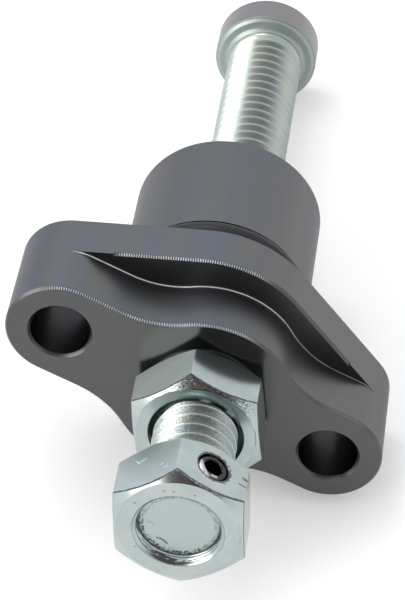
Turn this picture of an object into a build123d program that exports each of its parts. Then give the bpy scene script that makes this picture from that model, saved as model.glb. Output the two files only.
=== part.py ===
from build123d import *

import os
from math import cos, radians, sin, tan

os.makedirs("parts", exist_ok=True)

# A manual cam chain tensioner, in millimetres. The origin is the middle of the mounting
# face, where the nose leaves the flange. +Y runs along the nose into the engine, so the
# nuts are towards -Y. The two bolt holes lie along X, and Z is up.

# Thread shared by the adjuster bolt, the housing and both nuts: 3/8 inch, 16 to the inch.
# The helix itself isn't cut here, so the bolt is as thick as its rolled crests.
thread_d = 9.4
thread_clearance = 0.05
adjuster_offset = 1.0  # the threaded bore stands this far off the nose's axis, along X

# Housing: a rear plate, a scalloped boss in front of it and a round nose behind it.
hole_spacing = 33.6
hole_d = 6.7
hole_chamfer = 0.3
lobe_r = 6.15
plate_r = 13.6
plate_t = 5.8
boss_r = 10.4
boss_t = 6.85
blend_r = 11.5
edge_chamfer = 0.3
edge_stop = 1.9  # the plate's front edge is broken up to this short of each hole's centre
rear_chamfer = 0.2
nose_d = 22.2
nose_length = 21.3
nose_chamfer = 0.5
bore_chamfer = 0.5

# Seal ring and its groove in the nose. The ring lies against the groove's far wall.
ring_section = 2.6
ring_seat = 0.01
ring_side = 0.02
groove_depth = 2.1
groove_width = 3.45
groove_start = 1.5

# Adjuster bolt: a hexagon bolt whose head is turned down to a round pressure pad.
bolt_reach = 55.7  # from the mounting face to the underside of the head
bolt_out = 21.05  # how far its outer end stands in front of the boss
bolt_tip_d = 7.6
bolt_tip_t = 0.5
head_d = 13.0
head_t = 4.6
head_chamfer = 0.3
washer_d = 11.9
washer_t = 0.35
neck_r = 0.4

# Jam nuts: one locks the bolt in the housing, the other is fixed on the bolt's outer end.
# Each stands on a round washer face.
nut_af = 14.0
lock_nut_t = 6.55
end_nut_t = 7.1
nut_face_d = 13.2
nut_washer_t = 0.4
nut_chamfer_angle = 32.8
nut_sink_d = 10.4
lock_nut_turn = 0.9
end_nut_turn = -2.7
end_nut_overhang = 1.1

# Set screw through one flat of the end nut, down onto the thread.
screw_side = 90.0  # turn from the nut's own x to the flat that is drilled
screw_from_face = 3.9  # from the nut's outer face to the screw's axis
screw_d = 3.4
screw_fit = 0.03
screw_sink = 0.15
screw_tip_gap = 0.05
screw_chamfer = 0.3
screw_socket_af = 1.6
screw_socket_depth = 1.2
screw_mouth = 0.2

# Edges are picked by their radius, to within this.
radius_match = 0.001

# Worked out from the sizes above.
flange_t = plate_t + boss_t
thread_r = thread_d / 2
bore_r = thread_r + thread_clearance
bolt_tip_y = -flange_t - bolt_out
end_nut_face_y = bolt_tip_y - end_nut_overhang
end_nut_y = end_nut_face_y + end_nut_t
screw_turn = end_nut_turn + screw_side
screw_y = end_nut_face_y + screw_from_face
screw_top = nut_af / 2 - screw_sink
screw_length = screw_top - thread_r - screw_tip_gap
adjuster_axis = Axis((adjuster_offset, 0, 0), (0, 1, 0))
turning_plane = Plane(origin=(adjuster_offset, 0, 0), x_dir=(1, 0, 0), z_dir=(0, 0, 1))


def nut_plane(y, turn):
    """Plane across the adjuster at y, facing outwards, with its x turned from +X to +Z."""
    across = (cos(radians(turn)), 0, sin(radians(turn)))
    return Plane(origin=(adjuster_offset, y, 0), x_dir=across, z_dir=(0, -1, 0))


def screw_plane(height):
    """Plane across the set screw at this height over the adjuster's axis, facing out."""
    outwards = (cos(radians(screw_turn)), 0, sin(radians(screw_turn)))
    middle = (adjuster_offset + height * outwards[0], screw_y, height * outwards[2])
    return Plane(origin=middle, x_dir=(0, 1, 0), z_dir=outwards)


def draw_plate():
    """Rear plate's outline: a round middle and two lobes, joined by their tangents."""
    Circle(plate_r)
    with Locations((-hole_spacing / 2, 0), (hole_spacing / 2, 0)):
        Circle(lobe_r)
    make_hull()


# Shape of the boss: a straight bar over both bolt holes, swelling round the adjuster.
with BuildSketch(Plane.XZ.offset(plate_t)) as boss_outline:
    SlotCenterToCenter(hole_spacing, 2 * lobe_r)
    with Locations((adjuster_offset, 0)):
        Circle(boss_r)
    waists = boss_outline.vertices().sort_by(lambda v: abs(v.X - adjuster_offset))[:4]
    fillet(waists, blend_r)

# Boss by itself, with its front edge broken all round.
with BuildPart() as boss:
    extrude(boss_outline.sketch, amount=boss_t)
    chamfer(boss.faces().sort_by(Axis.Y)[0].edges(), edge_chamfer)

# What breaks the plate's front edge, which stops short of both lobes.
with BuildPart() as plate_edge_waste:
    with BuildSketch(Plane.XZ.offset(plate_t - edge_chamfer)):
        draw_plate()
        offset(amount=edge_chamfer)
    extrude(amount=edge_chamfer)
    with BuildSketch(Plane.XZ.offset(plate_t - edge_chamfer)):
        draw_plate()
    extrude(amount=edge_chamfer, taper=45, mode=Mode.SUBTRACT)
    Box(hole_spacing - 2 * edge_stop, 2 * flange_t, 4 * plate_r, mode=Mode.INTERSECT)

# Nose with its seal groove, turned about the middle of the mounting face.
with BuildPart() as nose:
    with BuildSketch(Plane.XY):
        nose_r = nose_d / 2
        with BuildLine():
            Polyline(
                (0, 0),
                (nose_r, 0),
                (nose_r, groove_start),
                (nose_r - groove_depth, groove_start),
                (nose_r - groove_depth, groove_start + groove_width),
                (nose_r, groove_start + groove_width),
                (nose_r, nose_length - nose_chamfer),
                (nose_r - nose_chamfer, nose_length),
                (0, nose_length),
                close=True,
            )
        make_face()
    revolve(axis=Axis.Y)

# Housing, machined from one piece of aluminium.
with BuildPart() as housing:
    with BuildSketch(Plane.XZ):
        draw_plate()
    extrude(amount=plate_t)
    chamfer(housing.faces().sort_by(Axis.Y)[-1].edges(), rear_chamfer)
    add(plate_edge_waste.part, mode=Mode.SUBTRACT)
    add(boss.part)
    add(nose.part)
    with Locations(nut_plane(-flange_t, 0)):
        Hole(bore_r)
    with BuildSketch(Plane.XZ):
        with Locations((-hole_spacing / 2, 0), (hole_spacing / 2, 0)):
            Circle(hole_d / 2)
    extrude(amount=flange_t, mode=Mode.SUBTRACT)
    bore_mouths = housing.edges().filter_by(GeomType.CIRCLE)
    bore_rims = bore_mouths.filter_by(lambda e: abs(e.radius - bore_r) < radius_match)
    chamfer(bore_rims, bore_chamfer)
    hole_mouths = housing.edges().filter_by(GeomType.CIRCLE)
    hole_rims = hole_mouths.filter_by(lambda e: abs(e.radius - hole_d / 2) < radius_match)
    chamfer(hole_rims, hole_chamfer)
housing.part.label = "housing"
export_step(housing.part, "parts/housing.step")

# Seal ring, stretched round the bottom of its groove and standing proud of the nose. Its
# round section is drawn with 16 flats.
with BuildPart() as seal_ring:
    with BuildSketch(Plane.XY):
        ring_r = nose_d / 2 - groove_depth + ring_seat + ring_section / 2
        ring_y = groove_start + groove_width - ring_side - ring_section / 2
        with Locations((ring_r, ring_y)):
            RegularPolygon(ring_section / 2, 16)
    revolve(axis=Axis.Y)
seal_ring.part.label = "seal_ring"
export_step(seal_ring.part, "parts/seal_ring.step")

# Adjuster bolt, turned about its own axis: tip, shank, neck, washer face and round head.
with BuildPart() as adjuster_bolt:
    with BuildSketch(turning_plane) as bolt_profile:
        head_end = bolt_reach + head_t
        with BuildLine():
            Polyline(
                (0, bolt_tip_y),
                (bolt_tip_d / 2, bolt_tip_y),
                (thread_r, bolt_tip_y + bolt_tip_t),
                (thread_r, bolt_reach),
                (washer_d / 2, bolt_reach),
                (washer_d / 2 + washer_t, bolt_reach + washer_t),
                (head_d / 2, bolt_reach + washer_t),
                (head_d / 2, head_end - head_chamfer),
                (head_d / 2 - head_chamfer, head_end),
                (0, head_end),
                close=True,
            )
        make_face()
        neck = bolt_profile.vertices().group_by(Axis.Y)[2].sort_by(Axis.X)[0]
        fillet(neck, neck_r)
    revolve(axis=adjuster_axis)
adjuster_bolt.part.label = "adjuster_bolt"
export_step(adjuster_bolt.part, "parts/adjuster_bolt.step")


def jam_nut(seat_y, height, turn):
    """Hexagon nut seated at seat_y on its washer face, countersunk on both faces."""
    rim_r = nut_af / 2 / cos(radians(30)) + 1
    rim_t = (rim_r - nut_face_d / 2) * tan(radians(nut_chamfer_angle))
    sink = nut_sink_d / 2 - bore_r
    hexagon_y = seat_y - nut_washer_t
    face_y = seat_y - height
    with BuildPart() as nut:
        with BuildSketch(nut_plane(seat_y, turn)):
            RegularPolygon(nut_af / 2, 6, major_radius=False)
        extrude(amount=height)
        with BuildSketch(turning_plane):
            with BuildLine():
                Polyline(
                    (nut_sink_d / 2, seat_y),
                    (nut_face_d / 2, seat_y),
                    (nut_face_d / 2, hexagon_y),
                    (rim_r, hexagon_y - rim_t),
                    (rim_r, face_y + rim_t),
                    (nut_face_d / 2, face_y),
                    (nut_sink_d / 2, face_y),
                    (bore_r, face_y + sink),
                    (bore_r, seat_y - sink),
                    close=True,
                )
            make_face()
        revolve(axis=adjuster_axis, mode=Mode.INTERSECT)
    return nut


lock_nut = jam_nut(-flange_t, lock_nut_t, lock_nut_turn)
lock_nut.part.label = "lock_nut"
export_step(lock_nut.part, "parts/lock_nut.step")

# End nut: a thicker one, cross drilled for the set screw.
with BuildPart() as end_nut:
    add(jam_nut(end_nut_y, end_nut_t, end_nut_turn).part)
    hole_r = screw_d / 2 + screw_fit
    with BuildSketch(screw_plane(0)):
        Circle(hole_r)
    extrude(amount=nut_af, mode=Mode.SUBTRACT)
    with BuildSketch(screw_plane(nut_af / 2 - screw_mouth)):
        Circle(hole_r)
    extrude(amount=2 * screw_mouth, taper=-45, mode=Mode.SUBTRACT)
end_nut.part.label = "end_nut"
export_step(end_nut.part, "parts/end_nut.step")

# Set screw with a hexagon socket, its tip on the bolt's thread.
with BuildPart() as set_screw:
    with BuildSketch(screw_plane(screw_top)):
        Circle(screw_d / 2)
    extrude(amount=-screw_length)
    chamfer(set_screw.edges().filter_by(GeomType.CIRCLE), screw_chamfer)
    with BuildSketch(screw_plane(screw_top)):
        RegularPolygon(screw_socket_af / 2, 6, major_radius=False)
    extrude(amount=-screw_socket_depth, mode=Mode.SUBTRACT)
set_screw.part.label = "set_screw"
export_step(set_screw.part, "parts/set_screw.step")
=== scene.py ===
import bmesh
import bpy
import numpy as np
from mathutils import Matrix


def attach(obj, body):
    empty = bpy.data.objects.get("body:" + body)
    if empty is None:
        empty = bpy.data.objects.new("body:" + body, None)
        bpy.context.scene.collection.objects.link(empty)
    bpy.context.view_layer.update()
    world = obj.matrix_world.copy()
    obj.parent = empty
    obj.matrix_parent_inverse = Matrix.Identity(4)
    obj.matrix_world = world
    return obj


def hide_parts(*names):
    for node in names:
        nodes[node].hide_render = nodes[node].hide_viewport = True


# A manual cam chain tensioner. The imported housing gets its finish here, and the threads, the
# nuts, the seal ring, the set screw, the cutter marks and the cove beside the boss are built
# here. Lengths are in millimetres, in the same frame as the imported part, +Y into the engine.
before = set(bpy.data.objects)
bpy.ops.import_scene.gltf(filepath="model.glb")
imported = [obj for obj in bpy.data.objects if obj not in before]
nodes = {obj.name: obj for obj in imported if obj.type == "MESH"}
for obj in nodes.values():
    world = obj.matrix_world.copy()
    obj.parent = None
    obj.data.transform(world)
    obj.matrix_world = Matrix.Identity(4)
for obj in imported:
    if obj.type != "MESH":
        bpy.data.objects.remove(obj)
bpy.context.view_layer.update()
print("frame loaded:", len(nodes), "nodes")


# A socket that can be added, multiplied and so on. Each expression adds its own Math node.
class Wire:
    def __init__(self, tree, socket):
        self.tree = tree
        self.socket = socket

    def math(self, operation, *values):
        inputs = {i: v for i, v in enumerate(values)}
        return addNode(self.tree, "ShaderNodeMath", {"operation": operation}, inputs)

    def __add__(self, other):
        return self.math("ADD", self, other)

    __radd__ = __add__

    def __sub__(self, other):
        return self.math("SUBTRACT", self, other)

    def __rsub__(self, other):
        return self.math("SUBTRACT", other, self)

    def __mul__(self, other):
        return self.math("MULTIPLY", self, other)

    __rmul__ = __mul__

    def __pow__(self, other):
        return self.math("POWER", self, other)

    def __abs__(self):
        return self.math("ABSOLUTE", self)

    def sin(self):
        return self.math("SINE", self)

    def root(self):
        return self.math("SQRT", self)

    def least(self, other):
        return self.math("MINIMUM", self, other)

    def most(self, other):
        return self.math("MAXIMUM", self, other)

    # 0 at low, 1 at high, and smooth between, where low may be above high
    def ramp(self, low, high):
        settings = {"interpolation_type": "SMOOTHSTEP", "clamp": True}
        inputs = {0: self, 1: low, 2: high, 3: 0.0, 4: 1.0}
        return addNode(self.tree, "ShaderNodeMapRange", settings, inputs)

    # 1 between the two values, with edges this soft
    def between(self, low, high, soft):
        return self.ramp(low - soft, low + soft) * self.ramp(high + soft, high - soft)


# One node: its settings go in first, then the values or links of its sockets.
def addNode(tree, kind, settings, inputs, output=0):
    made = tree.nodes.new(kind)
    for name, value in settings.items():
        setattr(made, name, value)
    for name, value in inputs.items():
        if isinstance(value, Wire):
            tree.links.new(value.socket, made.inputs[name])
        else:
            made.inputs[name].default_value = value
    return Wire(tree, made.outputs[output])


# A new material, a metal unless its constants say otherwise, with what most of the finishes
# below start from: the place in millimetres, and which way the surface faces.
class Finish:
    def __init__(self, name, constants=()):
        self.material = bpy.data.materials.new(name)
        self.material.use_nodes = True
        self.tree = self.material.node_tree
        self.shader = self.tree.nodes["Principled BSDF"]
        for socket, value in {"Metallic": 1.0, **dict(constants)}.items():
            self.shader.inputs[socket].default_value = value
        self.place = self.add("ShaderNodeTexCoord", {}, {}, "Object")
        self.whole = self.vector("SCALE", self.place, 1000.0)
        self.x, self.y, self.z = self.split(self.whole)
        self.facing = self.add("ShaderNodeNewGeometry", {}, {}, "Normal")

    def add(self, kind, settings, inputs, output=0):
        return addNode(self.tree, kind, settings, inputs, output)

    def split(self, vector):
        made = self.tree.nodes.new("ShaderNodeSeparateXYZ")
        self.tree.links.new(vector.socket, made.inputs[0])
        return [Wire(self.tree, out) for out in made.outputs]

    # the place, scaled by one factor across the nose's axis and by another along it
    def stretched(self, across, along):
        inputs = {0: self.x * across, 1: self.y * along, 2: self.z * across}
        return self.add("ShaderNodeCombineXYZ", {}, inputs)

    # noise over the place, or over another vector, with this scale, detail and roughness
    def noise(self, scale, detail, rough=0.55, vector=None):
        vector = self.whole if vector is None else vector
        inputs = {"Vector": vector, "Scale": scale, "Detail": detail, "Roughness": rough}
        return self.add("ShaderNodeTexNoise", {"noise_dimensions": "3D"}, inputs)

    def mix(self, amount, first, second):
        return mixed(self.tree, amount, first, second)

    # the look's colour with others laid over it in turn, each by its mask
    def layered(self, look, layers):
        tint = look["colour"]
        for amount, colour in layers:
            tint = self.mix(amount, tint, look[colour])
        return tint

    # a bumped normal, with the distance in millimetres and on top of the normal before it
    def bump(self, height, strength, distance, before=None):
        inputs = {"Strength": strength, "Distance": distance * 0.001, "Height": height}
        if before is not None:
            inputs["Normal"] = before
        return self.add("ShaderNodeBump", {}, inputs)

    # distance from the adjuster's axis
    def fromAxis(self):
        return ((self.x - offset) ** 2.0 + self.z**2.0).root()

    # vector maths on links or plain vectors, by the operation's name
    def vector(self, operation, first, second, output=0):
        inputs = {0: first, 3 if operation == "SCALE" else 1: second}
        return self.add("ShaderNodeVectorMath", {"operation": operation}, inputs, output)

    # 1 on a straight stroke from one point to another: it fades from this share of its width
    # outwards, by the distance to the nearest point of the line between them
    def stroke(self, start, end, width, core=0.35):
        start, end = np.array(start), np.array(end)
        run = end - start
        away = self.vector("SUBTRACT", self.whole, tuple(start))
        part = self.vector("DOT_PRODUCT", away, tuple(run / np.dot(run, run)), "Value")
        near = self.vector("SCALE", tuple(run), part.most(0.0).least(1.0))
        gap = self.vector("DISTANCE", away, near, "Value")
        return gap.ramp(width, width * core)

    # links what varies over the surface and hands back the finished material
    def set(self, **links):
        names = {"colour": "Base Color", "rough": "Roughness", "metal": "Metallic", "normal": "Normal"}
        for name, wire in links.items():
            self.tree.links.new(wire.socket, self.shader.inputs[names[name]])
        return self.material


def rgb(red, green, blue):
    return (red, green, blue, 1.0)


# From the first colour to the second, each a link or its red, green and blue.
def mixed(tree, amount, first, second):
    first, second = [c if isinstance(c, Wire) else rgb(*c) for c in (first, second)]
    return addNode(tree, "ShaderNodeMix", {"data_type": "RGBA"}, {0: amount, 6: first, 7: second}, 2)


# The strongest of several masks at each place.
def strongest(masks):
    result = masks[0]
    for mask in masks[1:]:
        result = result.most(mask)
    return result


offset = 1.0  # the bolt's axis stands this far off the nose's, along X

housing = {
    "holeX": 16.8,
    "lobe": 6.15,
    "boss": 10.4,
    "blend": 11.5,
    "plate": 13.6,
    "plateTop": -5.8,
    "bossTop": -12.65,
    "chamfer": 0.3,
}

nut = {
    "flats": 14.0,
    "faceRadius": 6.6,
    "washer": 0.4,
    "chamfer": np.radians(32.8),
    "boreRadius": 3.95,
    "gap": 0.05,  # the thread's play
    "wallDepth": 1.5,  # where the countersink's wall turns into a cone
    "chatterStep": 0.45,
    "driftWay": np.radians(-12.0),  # which way an off-centre face leans
    "edge": 0.07,  # how far every edge is rounded
    "columns": 360,
    "rows": (24, 20),  # down the countersink's wall and from there to the nut's middle
    "sharp": 24.0,
}

# Where each nut sits, its turn in degrees from +X towards +Z, its countersink and its finish.
lockNutPlace = {
    "seat": -12.65,
    "height": 6.55,
    "turn": 0.9,
    "sink": 5.35,  # the countersink's radius at the nut's face
    "wall": 4.2,  # and inside its curved lip
    "lip": 1.3,  # how deep the lip reaches
    "chatter": 0.03,  # the waves that the countersink's cutter left
    "drift": 0.0,  # how far the faces' round edge is off centre
    "clean": 0.85,  # how much less chalk there is beyond the upper left corner
    "speckle": 0.90,  # how strongly the chamfer is speckled at its top
    # inner: how strongly the countersink's painted shade, reflection and highlights show
    "inner": 0.80,  # how much of the countersink's own colour shows
    "chamferBump": 0.07,
}
endNutPlace = {
    "seat": -27.7,
    "height": 7.1,
    "turn": -2.7,
    "sink": 5.00,
    "wall": 4.56,
    "lip": 0.75,
    "chatter": 0.07,
    "drift": 0.25,
    "clean": 0.0,
    "speckle": 0.12,
    # inner: how strongly the countersink's painted shade, reflection and highlights show
    "inner": 0.15,
    "chamferBump": 0.03,
}

screw = {
    "turn": np.radians(87.3),  # from +X towards +Z
    "middle": -30.9,  # its axis along Y
    "topX": 1.32,  # where its axis comes out of the nut's flat
    "radius": 1.76,
    "top": 6.85,  # heights over the adjuster's axis
    "bottom": 4.75,
    "round": 0.45,
    "roundRows": 7,
    "chamfer": 0.3,
    "socket": 1.95,
    "socketDepth": 1.5,
    "socketEdge": (0.10, 0.08),  # how far its mouth is widened, and how deep
    "drillPoint": 0.4,
    "columns": 96,
    "sharp": 40.0,
    "hole": 1.84,
    "holeFrom": 3.0,
    "holeMouth": 6.86,
    "mouth": 0.4,  # how far the hole's mouth widens
    "holeColumns": 64,
}

aluminiumLook = {
    "colour": (0.105, 0.106, 0.107),
    "warm": (0.11, 0.113, 0.108),
    "wall": (0.16, 0.162, 0.161),
    # painted light: the walls are painted paler than the front face, as if lit
    "blue": (0.15, 0.158, 0.175),
    # painted shade: the inside of the bolt holes is painted darker
    "bore": (0.064, 0.064, 0.064),
    "sheen": (0.62, 0.62, 0.64),
    "rough": 0.34,
    "frontRough": 0.25,
    "streak": (0.32, 0.03),  # scales across the nose's axis and along it
    "grain": (6.0, 1.2),
    "cloud": (0.11, 2.0),  # a noise: its scale, detail and, in some, its roughness
    "blueSpan": (14.0, -4.0),  # the walls turn bluish from the first x to the second
    "boreSpan": (3.62, 3.38),  # and dark at these distances from a bolt hole's axis
}


# Dark grey anodised aluminium: soft streaks along the nose's axis where it was turned and
# milled, walls painted paler as if lit and bluer in streaks towards the left, painted shade
# inside the bolt holes, and a smoother front face.
def anodisedAluminium(look):
    finish = Finish("anodisedAluminium", {"Specular Tint": rgb(*look["sheen"])})
    streaks = finish.noise(1.0, 2.0, vector=finish.stretched(*look["streak"]))
    cloud = finish.noise(*look["cloud"])
    grain = finish.noise(1.0, 4.0, vector=finish.stretched(*look["grain"]))
    wallsPaintedLit = abs(finish.split(finish.facing)[1]).ramp(0.6, 0.3)
    tint = finish.mix(cloud.ramp(0.45, 0.7) * 0.6, look["colour"], look["warm"])
    bluish = streaks.ramp(0.42, 0.62) * finish.x.ramp(*look["blueSpan"])
    # painted light: surfaces that face sideways get the paler wall colour
    tint = finish.mix(wallsPaintedLit, tint, finish.mix(bluish, look["wall"], look["blue"]))
    fromHole = ((abs(finish.x) - housing["holeX"]) ** 2.0 + finish.z**2.0).root()
    # painted shade inside the bolt holes
    tint = finish.mix(fromHole.ramp(*look["boreSpan"]), tint, look["bore"])
    front = finish.y.ramp(housing["bossTop"] + 0.1, housing["bossTop"] + 0.02)
    rough = look["rough"] - front * (look["rough"] - look["frontRough"])
    rough = rough + (grain - 0.5) * 0.06 + (streaks - 0.5) * 0.05
    return finish.set(colour=tint, rough=rough, normal=finish.bump(grain, 0.10, 0.02))


coveLook = {
    # painted highlight along the cove
    "bright": (0.8, 0.8, 0.82),
    "coveHighlightSpan": (9.0, -1.0),  # it brightens from the first x to the second
    "rough": 0.30,
    "wear": (0.8, 3.0),
}


# The cove is painted with a highlight, white on the left and uneven, and has the housing's
# own colour further on.
def coveHighlightFinish(look, darkerRight):
    finish = Finish("covePaintedHighlight")
    wear = finish.noise(*look["wear"])
    bright = finish.x.ramp(*look["coveHighlightSpan"]) * 0.8 + 0.1
    tint = finish.mix(bright + (wear - 0.5) * 0.3, darkerRight, look["bright"])
    return finish.set(colour=tint, rough=look["rough"] + (wear - 0.5) * 0.1)


zincLook = {
    "colour": (0.402, 0.47, 0.472),
    "pale": (0.455, 0.512, 0.505),
    "deep": (0.29, 0.35, 0.36),
    "pit": (0.16, 0.17, 0.17),
    "dark": (0.06, 0.062, 0.065),
    "paintedGlints": (0.85, 0.88, 0.88),
    # painted shade and reflection: the countersink is painted dark teal, with painted highlights
    "sink": (0.095, 0.15, 0.162),
    "sinkHighlight": (0.52, 0.7, 0.735),
    "rough": 0.18,
    "cloud": (0.35, 3.0),
    "grain": (5.5, 4.0, 0.65),
    "fine": (16.0, 2.0),
    "pits": (2.3, 2.0, 0.5),
    "chamferFacing": (0.77, 0.95),  # how much of its normal lies along Y
    "flatFacing": (0.80, 0.60),
    "speckleX": (6.0, 3.0),  # the specks come in from the first x to the second
    "speckleZ": (2.5, 6.0),
    "rimBand": (-0.03, 0.08),  # off the face's round edge
    "rimZ": (-2.0, 3.0),
    "tornBand": (-0.12, 0.14),  # off the line where the chamfer's cone meets the flats
    "tornZ": (-3.0, 0.5),
    "torn": 0.36,  # how far that line wanders
    "ragged": (2.6, 3.0),
    "sinkHighlightSpans": [(-0.8, 0.3), (2.3, 3.4)],  # spans of x
    "sinkHighlightZ": (2.0, 4.0),
    "sinkHighlightSoft": 0.35,
    "sinkHighlightChalk": 0.7,
    "chalk": 0.34,  # how much of the flats isn't metallic
    "cleanSpan": (-3.25, -2.85),  # the x of the upper left corner
}


# Bright zinc plate on a nut. The flats are smooth and a little chalky, less so beyond one
# corner. The chamfers are grainy, with dark specks and painted bright glints near the top where
# the blank was cropped, a dark broken line runs round the face, and a ragged one follows the edge
# between chamfer and flats. The countersink is painted dark teal as shade and reflection, with
# two painted highlights.
def zincPlate(name, look, at):
    finish = Finish(name)
    cloud, grain = finish.noise(*look["cloud"]), finish.noise(*look["grain"])
    fromAxis = finish.fromAxis()
    fromFace = fromAxis - nut["faceRadius"]
    facingY = abs(finish.split(finish.facing)[1])
    chamfered = facingY.between(*look["chamferFacing"], 0.03)
    spotted = chamfered * finish.z.ramp(*look["speckleZ"]) * finish.x.ramp(*look["speckleX"])
    spotted = spotted * at["speckle"]
    rim = fromFace.between(*look["rimBand"], 0.04) * finish.z.ramp(*look["rimZ"])
    broken = cloud.ramp(0.40, 0.55) * chamfered.ramp(0.0, 0.6)
    # how far a place is off the cone, which rises with the distance from the face's edge
    coneGap = fromFace * np.tan(nut["chamfer"]) - (finish.y - (at["seat"] - at["height"]))
    ragged = (finish.noise(*look["ragged"]) - 0.5) * look["torn"]
    onFlats = facingY.ramp(*look["flatFacing"]) * finish.z.ramp(*look["tornZ"])
    torn = (coneGap + ragged).between(*look["tornBand"], 0.03) * onFlats
    layers = [
        (cloud.ramp(0.35, 0.65), "pale"),
        (grain.ramp(0.56, 0.68) * 0.30, "deep"),
        (grain.ramp(0.50, 0.60) * spotted, "dark"),
        # painted glints: bright specks on the top of the chamfer
        (grain.ramp(0.42, 0.36) * spotted, "paintedGlints"),
        (rim * broken * 0.8, "dark"),
        (finish.noise(*look["pits"]).ramp(0.70, 0.76) * 0.5, "pit"),
        (torn * 0.9, "dark"),
    ]
    # painted shade and reflection in the countersink, with two painted highlights on its top
    inside = fromAxis.ramp(at["sink"] + 0.10, at["sink"] - 0.04)
    left, right = [finish.x.between(*span, look["sinkHighlightSoft"]) for span in look["sinkHighlightSpans"]]
    sinkHighlights = (left + right) * finish.z.ramp(*look["sinkHighlightZ"])
    sink = finish.mix(sinkHighlights, look["sink"], look["sinkHighlight"])
    tint = finish.mix(inside * at["inner"], finish.layered(look, layers), sink)

    rough = look["rough"] + (cloud - 0.5) * 0.08 + chamfered * 0.05
    normal = finish.bump(finish.noise(*look["fine"]), 0.12, 0.01)
    normal = finish.bump(grain * chamfered, at["chamferBump"], 0.12, normal)
    clean = 1.0 - finish.x.ramp(*look["cleanSpan"]) * at["clean"]
    chalk = (1.0 - chamfered) * (1.0 - inside) * clean * look["chalk"]
    chalk = chalk.most(sinkHighlights * inside * at["inner"] * look["sinkHighlightChalk"])
    finish.set(metal=1.0 - chalk)
    return finish, tint, rough, normal


endNutMarks = {
    "scratches": [
        ((-5.64, -30.51, 2.61), (-5.07, -30.12, 3.51)),
        ((-5.77, -30.03, 2.42), (-5.54, -30.47, 2.77)),
        ((-3.95, -32.14, 5.24), (-3.83, -32.01, 5.43)),
        ((-3.69, -32.90, 5.65), (-3.47, -32.68, 5.99)),
    ],
    "cuts": [
        ((4.70, -30.45, 6.83), (5.63, -30.55, 6.79)),
        ((4.36, -31.60, 6.85), (5.48, -31.70, 6.80)),
        ((4.88, -30.65, 6.82), (5.57, -30.78, 6.79)),
        ((2.42, -32.50, 6.94), (2.79, -32.73, 6.92)),
    ],
    "pits": [
        (-2.79, -34.8, 4.36),
        (-1.87, -34.8, 4.83),
        (0.25, -34.8, 5.55),
        (-4.69, -34.8, 1.18),
        (-1.92, -34.8, -4.39),
    ],
    "scratchWidth": 0.07,
    "cutWidth": 0.11,
    "pitWidth": 0.19,
    "pitHalf": (0.05, 0.0, 0.03),  # from a pit's middle to either of its ends
    "pitDark": 0.55,
    "burr": 0.24,  # how far the torn rim of the set screw's hole wanders
    "burrReach": 0.22,  # its width
    "burrDrift": 0.13,  # how much further it lies towards the nut's face
    "burrZ": (4.9, 5.1),
    "ragged": (3.0, 3.0),
    "light": (0.95, 0.95, 0.95),
    "dark": (0.06, 0.06, 0.06),
}


# The end nut's zinc has a few scratches, cuts and pits, and a torn dark rim round the set
# screw's hole.
def markedZinc(look, at, marks):
    finish, tint, rough, normal = zincPlate("zincMarked", look, at)
    half = np.array(marks["pitHalf"])
    pits = [(place - half, place + half) for place in np.array(marks["pits"])]
    light = strongest([finish.stroke(*ends, marks["scratchWidth"]) for ends in marks["scratches"]])
    dark = [finish.stroke(*ends, marks["cutWidth"]) for ends in marks["cuts"]]
    dark += [finish.stroke(*ends, marks["pitWidth"]) * marks["pitDark"] for ends in pits]
    ragged = finish.noise(*marks["ragged"])
    reach = screw["hole"] + marks["burrReach"] + marks["burr"] * (ragged - 0.5) * 3.0
    rim = (fromScrewAxis(finish, screw, marks["burrDrift"]) - reach).ramp(0.06, -0.04)
    dark = strongest(dark + [rim * finish.z.ramp(*marks["burrZ"])])
    tint = finish.mix(light * 0.9, tint, marks["light"])
    tint = finish.mix(dark * 0.85, tint, marks["dark"])
    normal = finish.bump(dark * -1.0, 0.5, 0.05, normal)
    return finish.set(colour=tint, rough=rough + light * 0.25, normal=normal)


boltLook = {
    "colour": (0.4, 0.465, 0.46),
    "pale": (0.48, 0.51, 0.465),
    "deep": (0.235, 0.275, 0.285),
    "pit": (0.11, 0.125, 0.135),
    "shaded": (0.19, 0.245, 0.245),
    # painted shade on the shank's right side
    "darkerRight": (0.3, 0.33, 0.315),
    # painted reflection: a dark band along the top of the shank
    "reflectedBand": (0.23, 0.31, 0.305),
    "crest": (0.72, 0.76, 0.75),
    "collar": (0.33, 0.378, 0.368),
    "bare": (0.255, 0.252, 0.246),
    "end": (0.4, 0.462, 0.462),
    "spot": (0.05, 0.055, 0.055),
    "rough": 0.25,
    "chalk": 0.30,
    "cloud": (0.4, 3.0),
    "grain": (7.0, 3.0, 0.6),
    "specks": (3.4, 3.0, 0.6),
    "wander": (0.9, 2.0),
    "stubSpan": (-5.0, -12.0),  # along y, from the shank's finish to the outer stub's
    "shadedSpan": (1.8, 4.6),  # along x, to the stub's darker right side
    # painted shade on the shank's right side, from the first x to the second
    "darkerRightSpan": (2.8, 5.4),  # and to the shank's duller one
    "bandSpan": (-0.6, 2.4),  # between these, with edges this soft
    "bandSoft": 0.8,
    "bandZ": (0.0, 2.0),
    "crestBand": (4.60, 4.90),  # radii
    "crestSpan": (55.2, 54.0),
    "collarSpan": (54.9, 55.5),
    "bareFrom": 56.1,
    "endSpan": (0.6, 0.4),  # inwards from the bolt's end
    "speckled": (3.78, 4.32),  # radii of the ring on the bolt's end
    "speckleZ": (0.0, -3.2),
    "scuffs": [  # from, to, width and strength
        ((-2.14, -33.7, -1.57), (-1.92, -33.7, -1.29), 0.09, 0.4),
        ((-1.92, -33.7, -1.29), (-1.25, -33.7, -1.42), 0.09, 0.4),
        ((-0.21, -33.7, -2.96), (0.34, -33.7, -2.87), 0.16, 0.8),
        ((0.34, -33.7, -2.87), (1.05, -33.7, -3.13), 0.16, 0.8),
    ],
}
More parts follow.
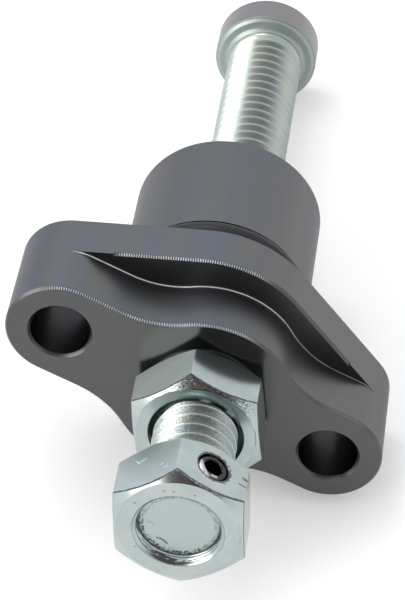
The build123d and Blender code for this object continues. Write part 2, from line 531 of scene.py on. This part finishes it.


# The bolt: zinc on the thread and under the head, and bare steel where the head was turned.
# The stub between the nuts is darker, pitted and painted with shade on the right, the shank has
# a painted dark reflection along its top and painted shade on its right side, and its crests
# are paler. The end's flat has a speckled ring, stronger below, and two scuffs.
def boltFinish(look, tip):
    finish = Finish("zincBolt")
    grain, specks = finish.noise(*look["grain"]), finish.noise(*look["specks"])
    fromAxis = finish.fromAxis()
    stub = finish.y.ramp(*look["stubSpan"])
    shank = 1.0 - stub
    crest = fromAxis.between(*look["crestBand"], 0.05) * finish.y.ramp(*look["crestSpan"])
    collar = finish.y.ramp(*look["collarSpan"])
    bare = finish.y.ramp(look["bareFrom"] - 0.02, look["bareFrom"] + 0.02)
    reflectedBand = finish.x.between(*look["bandSpan"], look["bandSoft"]) * finish.z.ramp(*look["bandZ"])
    atEnd = finish.y.ramp(*[tip + depth for depth in look["endSpan"]])
    wander = (finish.noise(*look["wander"]) - 0.5) * 0.3
    ring = (fromAxis + wander).between(*look["speckled"], 0.12)
    below = finish.z.ramp(*look["speckleZ"]) * 0.6 + 0.4
    spots = [specks.ramp(0.50, 0.56) * ring * atEnd * below]
    spots += [finish.stroke(*ends, width) * dark for *ends, width, dark in look["scuffs"]]
    layers = [
        (finish.noise(*look["cloud"]).ramp(0.4, 0.65), "pale"),
        (specks.ramp(0.52, 0.62) * stub * 0.45, "pit"),
        # painted shade on the right of the stub and of the shank, and a painted dark reflection on top
        (finish.x.ramp(*look["shadedSpan"]) * stub * 0.75, "shaded"),
        (finish.x.ramp(*look["darkerRightSpan"]) * shank * 0.6, "darkerRight"),
        (stub * 0.34, "deep"),
        (reflectedBand * shank * 0.45, "reflectedBand"),
        (crest * (stub * 0.22 + 0.05), "crest"),
        (collar, "collar"),
        (bare, "bare"),
        (atEnd, "end"),
        (strongest(spots), "spot"),
    ]
    rough = look["rough"] + (grain - 0.5) * 0.1 + bare * 0.15 + collar * (1.0 - bare) * 0.12
    normal = finish.bump(grain * (0.35 + stub * 0.65), 0.6, 0.05)
    normal = finish.bump(specks * ring * atEnd, 0.7, 0.15, normal)
    metal = 1.0 - shank * (1.0 - bare) * look["chalk"]
    return finish.set(colour=finish.layered(look, layers), rough=rough, metal=metal, normal=normal)


rubberLook = {
    "colour": (0.014, 0.014, 0.016),
    "dust": (0.03, 0.03, 0.033),
    "rough": 0.46,
    "shine": 0.3,
    "grain": (3.0, 4.0),
}


# Black rubber of the seal ring, with a little dust in its grain.
def blackRubber(look):
    finish = Finish("blackRubber", {"Metallic": 0.0, "Specular IOR Level": look["shine"]})
    grain = finish.noise(*look["grain"])
    tint = finish.mix(grain.ramp(0.5, 0.75) * 0.5, look["colour"], look["dust"])
    rough = look["rough"] + (grain - 0.5) * 0.15
    return finish.set(colour=tint, rough=rough, normal=finish.bump(grain, 0.15, 0.04))


oxideLook = {
    "colour": (0.022, 0.022, 0.022),
    "wornAndHighlit": (0.62, 0.63, 0.64),
    "rough": 0.20,
    "grain": (2.2, 4.0),
    "rimRadius": 1.15,
    # painted highlight: the rim's left side is painted bright steel, over the wear all round
    "rimHighlightAway": (0.85, 0.5),  # in x and y, away from the side that is rubbed
    "rimHighlightSpan": (-0.80, -1.30),
    # painted glint on the screw's front
    "paintedScrewGlint": ((1.35, -32.15, 6.85), (1.75, -32.10, 6.85)),
    "paintedScrewGlintWidth": 0.32,
}


# Distance from the set screw's axis, or from a line that stands this far off it along -Y.
def fromScrewAxis(finish, look, drift=0.0):
    across = finish.x - (offset + finish.z * (np.cos(look["turn"]) / np.sin(look["turn"])))
    return (across**2.0 + (finish.y - look["middle"] + drift) ** 2.0).root()


# Black oxide on the set screw, worn bright in patches round its rim, with a painted highlight
# on the rim's left and one painted glint on its front.
def blackOxide(look):
    finish = Finish("blackOxide")
    grain = finish.noise(*look["grain"])
    edge = look["rimRadius"]
    onRim = fromScrewAxis(finish, screw).ramp(edge - 0.05, edge + 0.05)
    right, back = look["rimHighlightAway"]
    side = (finish.x - screw["topX"]) * right + (finish.y - screw["middle"]) * back
    # worn patches round the rim, with a painted highlight on its left and a painted glint
    wornAndHighlit = grain.ramp(0.25, 0.45) * onRim * (side.ramp(*look["rimHighlightSpan"]) * 0.90 + 0.07)
    wornAndHighlit = wornAndHighlit.most(finish.stroke(*look["paintedScrewGlint"], look["paintedScrewGlintWidth"]) * 0.7)
    tint = finish.mix(wornAndHighlit, look["colour"], look["wornAndHighlit"])
    rough = look["rough"] + (grain - 0.5) * 0.2
    return finish.set(colour=tint, rough=rough, normal=finish.bump(grain, 0.3, 0.05))


def newObject(name, data):
    made = bpy.data.objects.new(name, data)
    bpy.context.scene.collection.objects.link(made)
    return made


touching = 1e-7  # metres within which points are one
shortest = 1e-8  # metres below which an edge is dissolved


# A piece from a grid of points, rows by columns by xyz in millimetres. Rows may close on
# themselves like a tyre, columns may close like a tube, and points that meet are merged.
# Edges that bend by more than the angle in degrees stay sharp. Marks are the points' places
# on the UV map, for pieces that have one.
def gridPiece(name, grid, closeRows, closeColumns, material, angle=30.0, marks=None):
    rows, columns = grid.shape[:2]
    index = np.arange(rows * columns).reshape(rows, columns)
    if closeRows:
        index = np.vstack([index, index[:1]])
    if closeColumns:
        index = np.hstack([index, index[:, :1]])
    corners = [index[:-1, :-1], index[1:, :-1], index[1:, 1:], index[:-1, 1:]]
    faces = np.stack(corners, axis=-1).reshape(-1, 4)
    mesh = bpy.data.meshes.new(name)
    mesh.from_pydata((grid.reshape(-1, 3) * 0.001).tolist(), [], faces.tolist())
    if marks is not None:
        layer = mesh.uv_layers.new(name="along")
        corner = np.zeros(len(mesh.loops), np.int32)
        mesh.loops.foreach_get("vertex_index", corner)
        layer.data.foreach_set("uv", marks.reshape(-1, 2)[corner].astype(np.float32).ravel())
    work = bmesh.new()
    work.from_mesh(mesh)
    bmesh.ops.remove_doubles(work, verts=work.verts, dist=touching)
    bmesh.ops.dissolve_degenerate(work, edges=work.edges, dist=shortest)
    if marks is None:
        bmesh.ops.recalc_face_normals(work, faces=work.faces)
    work.to_mesh(mesh)
    work.free()
    mesh.shade_smooth()
    mesh.set_sharp_from_angle(angle=np.radians(angle))
    mesh.materials.append(material)
    return newObject(name, mesh)


# This many angles, evenly spaced once round.
def onceRound(count):
    return np.linspace(0, 2 * np.pi, count, endpoint=False)


# Points round the adjuster's axis: angle 0 is +Z and grows towards +X, which is how a
# right-hand thread climbs along +Y.
def around(radius, y, angle):
    x = offset + radius * np.sin(angle)
    z = radius * np.cos(angle)
    return np.stack(np.broadcast_arrays(x, y, z), axis=-1)


# A profile with each of its corners turned into a small arc: the arc starts and ends the same
# distance from the corner, and its points lie on the quadratic curve between them. It takes
# up this share of a side at most.
def softened(profile, steps, share=0.45):
    points, sizes = np.array(profile)[:, :2], np.array(profile)[:, 2]
    t = np.linspace(0, 1, steps + 1)[:, None]
    result = [points[:1]]
    for i in range(1, len(points) - 1):
        before = points[i - 1] - points[i]
        after = points[i + 1] - points[i]
        reach = min(sizes[i], share * np.hypot(*before), share * np.hypot(*after))
        start = points[i] + before / np.hypot(*before) * reach
        end = points[i] + after / np.hypot(*after) * reach
        result.append((1 - t) ** 2 * start + 2 * t * (1 - t) * points[i] + t**2 * end)
    result.append(points[-1:])
    return np.vstack(result)


thread = {
    "radius": 4.7,
    "pitch": 1.5875,
    "depth": 0.9,
    "crest": 0.08,  # flats, as shares of the pitch
    "root": 0.14,
    "phase": 0.85,  # where the cut starts at the tip, as a share of a turn
}


# How deep the thread is cut, from 0 at the crest to 1 at the root, for a place along one turn
# from 0 to 1: a flat crest, two straight flanks and a flat root.
def threadCut(part):
    away = np.abs((part + 0.5) % 1.0 - 0.5) * 2
    return np.clip((away - thread["crest"]) / (1 - thread["crest"] - thread["root"]), 0, 1)


bolt = {
    "tip": -33.7,
    "tipRadius": 4.36,
    "tipSlope": 0.8,  # how fast the end's chamfer widens
    "tipRings": (0.0, 0.75, 0.97),  # shares of the flat end's radius
    "runIn": (0.25, 1.3),  # inwards from the tip, where the thread deepens
    "runOut": (53.8, 55.1),
    "threadEnd": 55.3,
    "columns": 96,
    "pointsPerTurn": 14,
    "head": [  # radius, y, and how far the corner there is rounded
        (4.7, 55.3, 0.0),
        (5.1, 55.7, 0.3),
        (5.95, 55.7, 0.12),
        (6.3, 56.05, 0.1),
        (6.5, 56.05, 0.1),
        (6.5, 60.0, 0.08),
        (6.2, 60.3, 0.08),
        (0.0, 60.3, 0.0),
    ],
    "headSteps": 5,
    "sharp": 40.0,
}


# The threaded bolt. Its rows follow the thread: each lies a part of a turn further along, and
# climbs one pitch as it goes round. A point's radius is the crest's less the cut, which fades
# in from the tip and out towards the head, and never more than the chamfer at the tip. Past
# either end a row is pressed flat against that end.
def threadedBolt(look, material):
    tip, perTurn = look["tip"], look["pointsPerTurn"]
    turns = int(np.ceil((look["threadEnd"] - tip) / thread["pitch"]))
    steps = np.arange(-perTurn, (turns + 1) * perTurn)[:, None] / perTurn
    angle = onceRound(look["columns"])
    y = tip + (steps + angle / (2 * np.pi)) * thread["pitch"]
    cut = threadCut(np.broadcast_to(steps + thread["phase"], y.shape)) * thread["depth"]
    start, full = look["runIn"]
    low, high = look["runOut"]
    entry = np.clip((y - tip - start) / (full - start), 0, 1)
    fade = np.clip((y - low) / (high - low), 0, 1)
    radius = thread["radius"] - cut * (1 - fade * fade * (3 - 2 * fade)) * entry
    y = np.clip(y, tip, look["threadEnd"])
    radius = np.minimum(radius, look["tipRadius"] + (y - tip) * look["tipSlope"])
    # the last column of a row is the first of the row one turn on, which closes the seam
    seam = around(radius[perTurn:, :1], y[perTurn:, :1], angle[:1])
    shank = around(radius, y, angle)[:-perTurn]
    shank = np.concatenate([shank, seam], axis=1)
    closed = np.append(angle, 0.0)
    flat = [around(look["tipRadius"] * r, tip, closed) for r in look["tipRings"]]
    profile = softened(look["head"], look["headSteps"])[1:]
    head = around(profile[:, :1], profile[:, 1:], closed)
    grid = np.concatenate([np.stack(flat), shank, head])
    return gridPiece("threadedBolt", grid, False, False, material, look["sharp"])


# A jam nut. Its outside is the hexagon met by a cone at each end, so the cone's edge dips
# towards the middle of every flat, and it stands on a round washer face. The faces' round
# edge may be off centre: its radius grows by the drift times the squared cosine of the angle
# from the drift's way, on that side only. Its inside is the thread, or the countersink where
# that is wider: a wall with a curved lip and a cutter's waves, and a cone below the wall.
def jamNut(name, look, at, material):
    seat, sink, height = at["seat"], at["sink"], at["height"]
    far = seat - height
    angle = onceRound(look["columns"])
    fromX = np.pi / 2 - angle - np.radians(at["turn"])
    hexagon = look["flats"] / 2 / np.cos(fromX % (np.pi / 3) - np.pi / 6)
    drift = at["drift"] * np.clip(np.cos(angle - look["driftWay"]), 0, 1) ** 2
    face = look["faceRadius"] + drift
    rise = np.maximum(hexagon - face, 0) * np.tan(look["chamfer"])

    near, (wallRows, coreRows) = look["wallDepth"], look["rows"]
    core = np.linspace(near, height / 2, coreRows)[1:]
    down = np.concatenate([np.linspace(0, near, wallRows), core])
    y = seat - np.append(down, height - down[-2::-1])[:, None]
    turned = (y - bolt["tip"]) / thread["pitch"] - angle / (2 * np.pi)
    cut = threadCut(turned + thread["phase"]) * thread["depth"]
    threaded = thread["radius"] + look["gap"] - cut
    depth = np.minimum(seat - y, y - far)
    lip = np.clip(1 - depth / at["lip"], 0, 1) ** 2 * (sink - at["wall"])
    waves = at["chatter"] * np.sin(depth * (2 * np.pi / look["chatterStep"]))
    cone = at["wall"] - np.maximum(depth - near, 0) + lip + waves
    inner = np.maximum(np.maximum(threaded, look["boreRadius"]), cone)
    rows = [around(inner, y, angle)]

    # the far face, its chamfer and the flats, then the other chamfer, the washer and the seat
    edge, lean = look["edge"], np.tan(look["chamfer"])
    corner = np.maximum(hexagon - edge, face + edge * 1.5)
    for side, way, lift in ((far, 1.0, 0.0), (seat, -1.0, look["washer"])):
        base = side + way * lift
        parts = [
            (sink + edge, side),
            (face - edge, side),
            (face, side + way * min(lift, edge)),
            (face + edge * 0.2, base + way * edge * 0.2 * lean),
            (corner, base + way * np.maximum(rise - edge * 0.6, edge * 0.6)),
            (hexagon, base + way * (rise + edge)),
        ]
        for radius, level in parts if way > 0 else parts[::-1]:
            rows.append(around(radius, level, angle)[None])
    return gridPiece(name, np.concatenate(rows), True, True, material, look["sharp"])


# Rows round the set screw's axis, which points out of the nut's flat, each from a radius and
# a height over the adjuster's axis.
def aroundScrew(look, rows, angle):
    out = np.array([np.cos(look["turn"]), 0.0, np.sin(look["turn"])])
    side = np.array([-np.sin(look["turn"]), 0.0, np.cos(look["turn"])])
    along = np.array([0.0, 1.0, 0.0])
    middle = np.array([offset, look["middle"], 0.0])
    away = np.cos(angle)[:, None] * side + np.sin(angle)[:, None] * along
    return np.stack([middle + (r + 0 * angle)[:, None] * away + h * out for r, h in rows])


# The set screw: a rounded rim, a hexagon socket and a chamfered lower end.
def setScrew(look, material):
    angle = onceRound(look["columns"])
    hexagon = look["socket"] / 2 / np.cos((angle % (np.pi / 3)) - np.pi / 6)
    bend = np.linspace(0, np.pi / 2, look["roundRows"])
    top, bottom, radius = look["top"], look["bottom"], look["radius"]
    small, curve = look["chamfer"], look["round"]
    wider, deeper = look["socketEdge"]
    floor = top - look["socketDepth"]
    rows = [(0.0, bottom), (radius - small, bottom), (radius, bottom + small)]
    rows += [(radius - curve * (1 - np.cos(b)), top - curve * (1 - np.sin(b))) for b in bend]
    rows += [(hexagon + wider, top), (hexagon, top - deeper), (hexagon, floor)]
    rows += [(0.0, floor - look["drillPoint"])]
    grid = aroundScrew(look, rows, angle)
    return gridPiece("setScrewSocketed", grid, False, True, material, look["sharp"])


# The hole for the set screw is cut out of the nut by a plain round bar with a wider mouth.
def crossDrilled(piece, look, sharp):
    angle = onceRound(look["holeColumns"])
    hole, mouth, wider = look["hole"], look["holeMouth"], look["mouth"]
    rows = [(0.0, look["holeFrom"]), (hole, look["holeFrom"]), (hole, mouth)]
    rows += [(hole + wider, mouth + wider), (0.0, mouth + wider)]
    bar = gridPiece("drillBar", aroundScrew(look, rows, angle), False, True, piece.data.materials[0])
    cut = piece.modifiers.new("drill", "BOOLEAN")
    cut.operation = "DIFFERENCE"
    cut.solver = "EXACT"
    cut.object = bar
    view = bpy.context.evaluated_depsgraph_get()
    view.update()
    drilled = bpy.data.meshes.new_from_object(piece.evaluated_get(view))
    piece.modifiers.clear()
    piece.data = drilled
    bpy.data.objects.remove(bar)
    drilled.set_sharp_from_angle(angle=np.radians(sharp))
    return piece


seal = {
    "ringRadius": 10.31,
    "sectionRadius": 1.3,
    "middle": 3.63,
    "columns": 160,
    "sectionColumns": 28,
    "sharp": 80.0,
}


# The seal ring: a round section carried round the nose's axis.
def sealRing(look, material):
    turn = onceRound(look["columns"])[:, None]
    section = onceRound(look["sectionColumns"])
    radius = look["ringRadius"] + look["sectionRadius"] * np.cos(section)
    y = look["middle"] + look["sectionRadius"] * np.sin(section)
    places = np.broadcast_arrays(radius * np.sin(turn), y, radius * np.cos(turn))
    grid = np.stack(places, axis=-1)
    return gridPiece("sealRingRubber", grid, True, True, material, look["sharp"])


# An arc's points and outward normals, from one angle to another.
def arc(centre, radius, start, end, spacing, inwards=False):
    count = max(2, int(abs(end - start) * radius / spacing) + 1)
    angle = np.linspace(start, end, count)
    out = np.stack([np.cos(angle), np.sin(angle)], axis=-1)
    return np.array(centre) + radius * out, out * (-1.0 if inwards else 1.0)


# A straight line's points, evenly spaced from one end to the other, and its outward normal.
def straight(start, end, normal, spacing):
    start, end = np.array(start), np.array(end)
    count = max(2, int(np.hypot(*(end - start)) / spacing) + 1)
    t = np.linspace(0, 1, count)[:, None]
    return (1 - t) * start + t * end, np.broadcast_to(np.array(normal, float), (count, 2))


# The runs of an outline as one. A point this near to the one before it, in millimetres, is the
# same point again where two runs meet, and is left out.
def joined(runs, near=1e-6):
    points, normals = [np.vstack(each) for each in zip(*runs)]
    keep = np.append(True, np.hypot(*np.diff(points, axis=0).T) > near)
    return points[keep], normals[keep]


# The upper half of the boss's outline from left to right, as points and outward normals in
# x and z: half a lobe, the bar, the concave blend, the swelling round the bolt, and back.
def bossOutline(look, spacing):
    lobe, boss, blend, hole = look["lobe"], look["boss"], look["blend"], look["holeX"]
    reach = np.sqrt((boss + blend) ** 2 - (lobe + blend) ** 2)
    lean = np.arctan2(reach, lobe + blend)
    left, right = (offset - reach, lobe + blend), (offset + reach, lobe + blend)
    runs = [
        arc((-hole, 0), lobe, np.pi, np.pi / 2, spacing),
        straight((-hole, lobe), (left[0], lobe), (0, 1), spacing),
        arc(left, blend, -np.pi / 2, -np.pi / 2 + lean, spacing, True),
        arc((offset, 0), boss, np.pi / 2 + lean, np.pi / 2 - lean, spacing),
        arc(right, blend, -np.pi / 2 - lean, -np.pi / 2, spacing, True),
        straight((right[0], lobe), (hole, lobe), (0, 1), spacing),
        arc((hole, 0), lobe, np.pi / 2, 0, spacing),
    ]
    return joined(runs)


# The lean of the plate's straight edges, which touch its round middle and both lobes.
def plateLean(look):
    return np.arcsin((look["plate"] - look["lobe"]) / look["holeX"])


# The upper edge of the rear plate from left to right, up to this x on either side: tangent,
# round middle, tangent.
def plateOutline(look, stop, spacing):
    lean = plateLean(look)
    touch = look["plate"] * np.array([np.sin(lean), np.cos(lean)])
    end = touch + np.array([1.0, -np.tan(lean)]) * (stop - touch[0])
    out = (np.sin(lean), np.cos(lean))
    runs = [
        straight((-end[0], end[1]), (-touch[0], touch[1]), (-out[0], out[1]), spacing),
        arc((0, 0), look["plate"], np.pi / 2 + lean, np.pi / 2 - lean, spacing),
        straight(tuple(touch), tuple(end), out, spacing),
    ]
    return joined(runs)



# A strip along an outline above the middle, and its mirror below. Its rows stand this far out
# of the outline, at these y.
def bothHalves(name, points, normals, out, y, marks, material):
    made = []
    for sign, side in ((1, "Upper"), (-1, "Lower")):
        x = points[:, 0] + normals[:, 0] * out
        z = (points[:, 1] + normals[:, 1] * out) * sign
        grid = np.stack(np.broadcast_arrays(x, y, z), axis=-1)[::sign]
        made.append(gridPiece(name + side, grid, False, False, material, marks=marks[::sign]))
    return made


# Strips of the cutter's steps, laid on the front chamfers of the boss and of the plate.
strip = {
    "lift": 0.012,  # over the chamfer
    "span": (0.04, 0.96),  # how far across the chamfer it lies, from the wall to the face
    "rows": 4,
    "tick": 0.275,  # length of one step
    "spacing": 0.05,
    "plateStop": 14.9,
}


# A strip laid on a chamfer, a hair above it. Across it goes from the wall to the front face:
# straight, as the chamfer is, and inwards as much as forwards. Its marks count the steps
# along it and give the share of the way across.
def chamferStrip(name, outline, top, look, material):
    points, normals = outline
    along = np.append(0.0, np.cumsum(np.hypot(*np.diff(points, axis=0).T)))
    across = np.linspace(*look["span"], look["rows"])[:, None]
    size = housing["chamfer"]
    push = look["lift"] / np.sqrt(2)
    marks = np.stack(np.broadcast_arrays(along / look["tick"], across), axis=-1)
    y = top + size * (1 - across) - push
    return bothHalves(name, points, normals, push - size * across, y, marks, material)


cove = {
    "radius": 0.14,
    "share": 0.7,  # of the room beside the boss, where that is narrow
    "least": 0.01,  # room, below which there is no cove
    "beyond": 2.6,  # how far it may reach past a bolt hole's axis
    "lift": 0.004,
    "rows": 6,
    "spacing": 0.2,
}


# The quarter-round cove where the boss stands on the plate, its radius shrinking to nothing
# where the plate's own edge comes in to meet the boss.
def ledgeCove(look, material):
    points, normals = bossOutline(housing, look["spacing"])
    lean = plateLean(housing)
    # the room that the plate leaves beside each point, to its round middle or its tangent
    outX, up = np.abs(points[:, 0]), points[:, 1]
    line = housing["plate"] - (outX * np.sin(lean) + up * np.cos(lean))
    middle = housing["plate"] - np.hypot(outX, up)
    room = np.where(outX * np.cos(lean) < up * np.sin(lean), middle, line)
    keep = (up > 0) & (outX < housing["holeX"] + look["beyond"]) & (room > look["least"])
    points, normals, room = points[keep], normals[keep], room[keep]
    radius = np.minimum(look["radius"], look["share"] * room)
    bend = np.linspace(0, np.pi / 2, look["rows"])[:, None]
    out = radius * (1 - np.sin(bend)) + look["lift"]
    y = housing["plateTop"] - radius * (1 - np.cos(bend)) - look["lift"]
    marks = np.stack(np.broadcast_arrays(points[:, 0], bend), axis=-1)
    return bothHalves("ledgeCove", points, normals, out, y, marks, material)


marksLook = {
    "colour": aluminiumLook["colour"],
    # painted glint on the cutter's steps
    "bright": (0.7, 0.76, 0.85),
    "rough": aluminiumLook["rough"],
    "faint": 0.35,
    "faintEnd": (19.0, 17.0),
    "wear": (0.30, 2.0),
}

# Where the steps' painted glints are strong, from start to end along X, and where the faint
# ones start: on the plate that is beyond the part, so it has none.
plateMarks = {"from": (-14.9, -13.6), "to": (3.0, 0.0), "faint": (40.0, 41.0)}
bossMarks = {"from": (-21.0, -19.5), "to": (3.5, 0.5), "faint": (12.0, 14.0)}


# Fine steps that the cutter left along a chamfer, each painted with a bright bluish glint: one
# tick for each tooth as the strip's own length runs, worn away in places. The painted glints
# are strong on the left, and on the boss faint ones follow on the right.
def cutterMarkGlints(name, look, at):
    finish = Finish(name)
    u, v, _ = finish.split(finish.add("ShaderNodeUVMap", {"uv_map": "along"}, {}))
    tick = (u * (2 * np.pi)).sin().ramp(-0.1, 0.9)
    wear = finish.noise(*look["wear"]).ramp(0.35, 0.65)
    strong = finish.x.ramp(*at["from"]) * finish.x.ramp(*at["to"])
    faint = finish.x.ramp(*at["faint"]) * finish.x.ramp(*look["faintEnd"]) * look["faint"]
    shown = strong + faint
    amount = tick * v.between(0.10, 0.90, 0.08) * shown * (0.65 + wear * 0.35)
    tint = finish.mix(amount, look["colour"], look["bright"])
    rough = look["rough"] + amount * 0.40
    return finish.set(colour=tint, rough=rough, normal=finish.bump(tick * shown, 0.2, 0.02))


aluminium = anodisedAluminium(aluminiumLook)
lockFinish, tint, rough, normal = zincPlate("zincPlate", zincLook, lockNutPlace)
zinc = lockFinish.set(colour=tint, rough=rough, normal=normal)
endZinc = markedZinc(zincLook, endNutPlace, endNutMarks)
zincBolt = boltFinish(boltLook, bolt["tip"])
rubber = blackRubber(rubberLook)
oxide = blackOxide(oxideLook)
for node, material in (
    ("housing", aluminium),
    ("seal_ring", rubber),
    ("adjuster_bolt", zincBolt),
    ("lock_nut", zinc),
    ("end_nut", endZinc),
    ("set_screw", oxide),
):
    slots = nodes[node].data.materials
    if len(slots) == 0:
        slots.append(material)
    for i in range(len(slots)):
        slots[i] = material
print("finishes made")

boltPiece = threadedBolt(bolt, zincBolt)
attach(boltPiece, "adjuster_hexagon")
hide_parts("adjuster_bolt")
print("bolt threaded:", len(boltPiece.data.polygons), "faces")

lockNut = jamNut("lockNutThreaded", nut, lockNutPlace, zinc)
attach(lockNut, "lock_nut")
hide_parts("lock_nut")

endNut = crossDrilled(jamNut("endNutThreaded", nut, endNutPlace, endZinc), screw, nut["sharp"])
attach(endNut, "adjuster_hexagon")
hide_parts("end_nut")
print("nuts made:", len(lockNut.data.polygons), "and", len(endNut.data.polygons), "faces")

screwPiece = setScrew(screw, oxide)
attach(screwPiece, "adjuster_hexagon")
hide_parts("set_screw")

ring = sealRing(seal, rubber)
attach(ring, "housing")
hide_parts("seal_ring")

bossEdge = bossOutline(housing, strip["spacing"])
plateEdge = plateOutline(housing, strip["plateStop"], strip["spacing"])
added = ledgeCove(cove, coveHighlightFinish(coveLook, aluminiumLook["colour"]))
for name, outline, top, marks in (
    ("bossCutterGlints", bossEdge, housing["bossTop"], bossMarks),
    ("plateCutterGlints", plateEdge, housing["plateTop"], plateMarks),
):
    added += chamferStrip(name, outline, top, strip, cutterMarkGlints(name, marksLook, marks))
for piece in added:
    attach(piece, "housing")
print("housing dressed")

# Directions point away from the object, and each pair of angles in degrees is where a light
# or dark place of the surroundings ends and where it is full.
studio = {
    "floorNormal": (-0.437, -0.111, 0.892),
    "floorColour": (0.72, 0.72, 0.72),
    "floorGlow": 0.29,
    "floorGap": 0.02,
    "floorHalf": 1500.0,
    "dark": (0.13, 0.095, 0.095),
    "darkWay": (-0.05, -0.91, 0.34),
    "darkAngles": (35, 28),
    "bright": (4.2, 4.15, 3.95),
    "brightWay": (-0.77, -0.63, 0.03),
    "brightAngles": (27, 20),
    "blue": (0.92, 0.97, 1.08),
    "blueWay": (-0.59, 0.77, 0.24),
    "blueAngles": (50, 10),
}


def unit(vector):
    vector = np.array(vector, float)
    return vector / np.linalg.norm(vector)


# The white table that the tensioner lies on, on its plate's edge, one lobe and its head's rim:
# the lowest of the three along the table's normal. It is seen from above only, so that a
# camera below it still sees the object.
def makeFloor(look):
    normal = unit(look["floorNormal"])
    level = np.hypot(normal[0], normal[2])
    headRadius, headEnd, _ = np.max(bolt["head"], axis=0)
    lowest = min(
        -housing["plate"] * level,
        -abs(normal[0]) * housing["holeX"] - housing["lobe"] * level,
        normal[0] * offset + normal[1] * headEnd - headRadius * level,
    )
    across = unit(np.cross(normal, (0.0, 1.0, 0.0)))
    forward = np.cross(normal, across)
    middle = normal * (lowest - look["floorGap"])
    signs = ((-1, -1), (1, -1), (1, 1), (-1, 1))
    corners = [middle + (a * across + b * forward) * look["floorHalf"] for a, b in signs]
    mesh = bpy.data.meshes.new("floor")
    mesh.from_pydata((np.array(corners) * 0.001).tolist(), [], [(0, 1, 2, 3)])
    if np.dot(np.array(mesh.polygons[0].normal), normal) < 0:
        mesh.flip_normals()
    floor = newObject("floor", mesh)
    material = bpy.data.materials.new("paleTable")
    material.use_nodes = True
    tree = material.node_tree
    tree.nodes.remove(tree.nodes["Principled BSDF"])
    back = addNode(tree, "ShaderNodeNewGeometry", {}, {}, "Backfacing")
    rays = ("Is Camera Ray", "Is Glossy Ray", "Is Transmission Ray")
    seen = strongest([addNode(tree, "ShaderNodeLightPath", {}, {}, ray) for ray in rays])
    paint = addNode(tree, "ShaderNodeBsdfDiffuse", {}, {"Color": rgb(*look["floorColour"])})
    shine = {"Color": rgb(1, 1, 1), "Strength": seen * look["floorGlow"]}
    glow = addNode(tree, "ShaderNodeEmission", {}, shine)
    lit = addNode(tree, "ShaderNodeAddShader", {}, {0: paint, 1: glow})
    clear = addNode(tree, "ShaderNodeBsdfTransparent", {}, {})
    shown = addNode(tree, "ShaderNodeMixShader", {}, {0: back, 1: lit, 2: clear})
    tree.links.new(shown.socket, tree.nodes["Material Output"].inputs["Surface"])
    mesh.materials.append(material)
    return floor


# Even white surroundings with a warm window low on the front left, a little blue behind on
# the left, and the dark side of the room round the camera. The camera itself sees white.
def makeWorld(look):
    world = bpy.data.worlds.new("studio")
    bpy.context.scene.world = world
    world.use_nodes = True
    tree = world.node_tree
    way = addNode(tree, "ShaderNodeTexCoord", {}, {}, "Generated")
    shade = (1, 1, 1)
    for place in ("blue", "bright", "dark"):
        inputs = {0: way, 1: tuple(unit(look[place + "Way"]))}
        dot = addNode(tree, "ShaderNodeVectorMath", {"operation": "DOT_PRODUCT"}, inputs, "Value")
        near = dot.ramp(*np.cos(np.radians(look[place + "Angles"])))
        shade = mixed(tree, near, shade, look[place])
    camera = addNode(tree, "ShaderNodeLightPath", {}, {}, "Is Camera Ray")
    shade = mixed(tree, camera, shade, (1, 1, 1))
    tree.links.new(shade.socket, tree.nodes["Background"].inputs["Color"])


softbox = {
    "way": (-0.68, 0.22, 0.75),
    "middle": (offset, 5.0, 0.0),
    "far": 420,
    "size": 200,
    "power": 0.5,
    "colour": (1.0, 0.99, 0.96),
}


# A square softbox that looks at the middle of the object.
def makeLamp(name, look):
    data = bpy.data.lights.new(name, "AREA")
    data.shape = "SQUARE"
    data.size = look["size"] * 0.001
    data.energy = look["power"]
    data.color = look["colour"]
    lamp = newObject(name, data)
    away = unit(look["way"])
    side = unit(np.cross((0, 0, 1), away))
    spot = (away * look["far"] + np.array(look["middle"])) * 0.001
    lamp.matrix_world = placed(side, np.cross(away, side), away, spot)


# A matrix from three directions and a place in metres.
def placed(right, up, back, place):
    rows = np.column_stack([right, up, back, place])
    return Matrix(np.vstack([rows, (0, 0, 0, 1)]).tolist())


camera = {
    "place": (-66.9135, -263.9301, 203.8035),
    "right": (0.88889377, 0.11875318, 0.44245401),
    "up": (-0.41607641, 0.61342565, 0.67125956),
    "lens": 177.561,
    "sensor": 36.0,
    "clip": (0.01, 10.0),  # metres
}


# The camera stands where the photograph's was, rolled about its view as that was.
def makeCamera(look):
    data = bpy.data.cameras.new("camera")
    data.lens = look["lens"]
    data.sensor_width = look["sensor"]
    data.clip_start, data.clip_end = look["clip"]
    made = newObject("camera", data)
    right, up = unit(look["right"]), unit(look["up"])
    made.matrix_world = placed(right, up, np.cross(right, up), np.array(look["place"]) * 0.001)
    bpy.context.scene.camera = made


makeFloor(studio)
makeWorld(studio)
makeLamp("leftSoftbox", softbox)
makeCamera(camera)
bpy.context.scene.view_settings.view_transform = "Standard"
print("studio ready")
